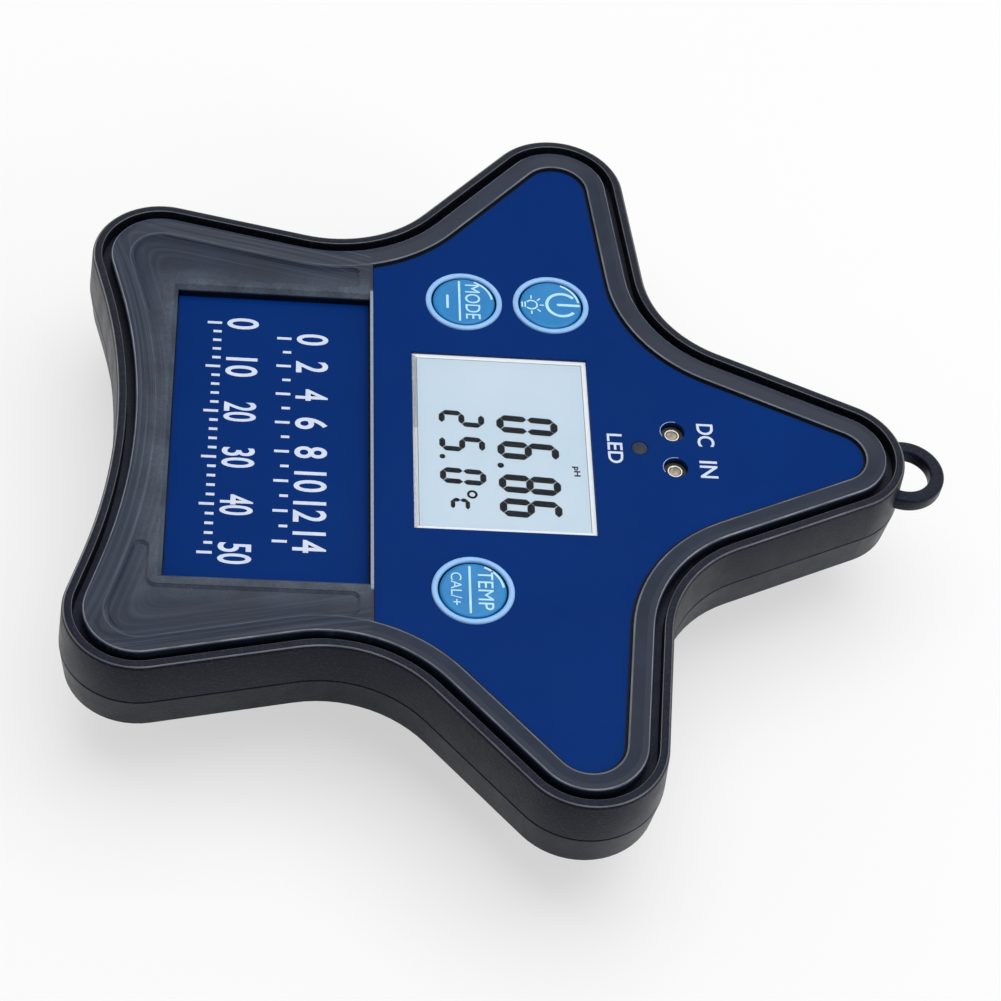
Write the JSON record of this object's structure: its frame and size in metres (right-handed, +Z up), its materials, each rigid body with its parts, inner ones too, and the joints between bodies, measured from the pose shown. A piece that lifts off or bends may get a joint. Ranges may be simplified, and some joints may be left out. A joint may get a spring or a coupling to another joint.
{
  "type": "multiparameter water quality meter",
  "caption": "Star-shaped floating water quality meter with a display, keys, charging contacts, a hanging loop and a guarded probe head underneath.",
  "frame": {"origin": "on the probe axis at the foot of the guard ring, the lowest point of the part", "axes": "+Z up out of the face, +Y towards the hanging loop, +X to the right as the display reads"},
  "size_m": [0.1666, 0.1676, 0.035],
  "materials": {
    "housing_black": "fine satin moulded",
    "cover_smoke": "smooth tinted",
    "panel_blue": "printed film",
    "window_clear": "polished",
    "display_grey": "lit liquid crystal",
    "white_plastic": "moulded",
    "key_blue": "satin",
    "ring_pale": "smooth",
    "contact_metal": "nickel plated",
    "seal_rubber": "silicone",
    "board_green": "solder mask",
    "chip_black": "moulded",
    "screw_steel": "stainless",
    "cell_silver": "foil pouch",
    "lamp_lens": "diffuse",
    "probe_black": "moulded",
    "bulb_glass": "blown",
    "junction_white": "porous"
  },
  "bodies": {
    "housing": {"upper_housing": "housing_black", "lower_housing": "housing_black", "housing_seal": "seal_rubber", "housing_screws": "screw_steel", "top_cover": "cover_smoke", "face_panel": "panel_blue", "label_plate": "panel_blue", "lcd_window": "window_clear", "lcd_glass": "display_grey", "lcd_backlight": "white_plastic", "lcd_holder": "white_plastic", "lcd_connector": "seal_rubber", "key_rings": "ring_pale", "key_seals": "seal_rubber", "key_switches": "chip_black", "charge_contacts": "contact_metal", "contact_bushings": "seal_rubber", "status_led": "white_plastic", "led_lens": "lamp_lens", "main_board": "board_green", "processor_chip": "chip_black", "radio_module": "contact_metal", "battery_connector": "white_plastic", "board_screws": "screw_steel", "battery": "cell_silver", "battery_pad": "seal_rubber", "sensor_body": "probe_black", "sensor_oring": "seal_rubber", "sensor_screws": "screw_steel", "sensor_board": "board_green", "sensor_header": "chip_black", "ph_bulb": "bulb_glass", "ph_wire": "contact_metal", "reference_junction": "junction_white", "temperature_probe": "screw_steel", "conductivity_pins": "screw_steel"},
    "power_button": {"power_key": "key_blue", "power_plunger": "white_plastic"},
    "mode_button": {"mode_key": "key_blue", "mode_plunger": "white_plastic"},
    "temp_button": {"temp_key": "key_blue", "temp_plunger": "white_plastic"},
    "guard": {"probe_guard": "probe_black"}
  },
  "joints": [
    {"name": "power_press", "type": "slide", "parent": "housing", "child": "power_button", "axis": [0, 0, -1], "range_m": [0, 0.00035], "stiffness_N_per_m": 1500, "springref_m": -0.0007},
    {"name": "mode_press", "type": "slide", "parent": "housing", "child": "mode_button", "axis": [0, 0, -1], "range_m": [0, 0.00035], "stiffness_N_per_m": 1500, "springref_m": -0.0007},
    {"name": "temp_press", "type": "slide", "parent": "housing", "child": "temp_button", "axis": [0, 0, -1], "range_m": [0, 0.00035], "stiffness_N_per_m": 1500, "springref_m": -0.0007},
    {"name": "guard_twist", "type": "hinge", "parent": "housing", "child": "guard", "pos_m": [0, 0, 0.0143], "axis": [0, 0, -1], "range_deg": [0, 36]}
  ]
}
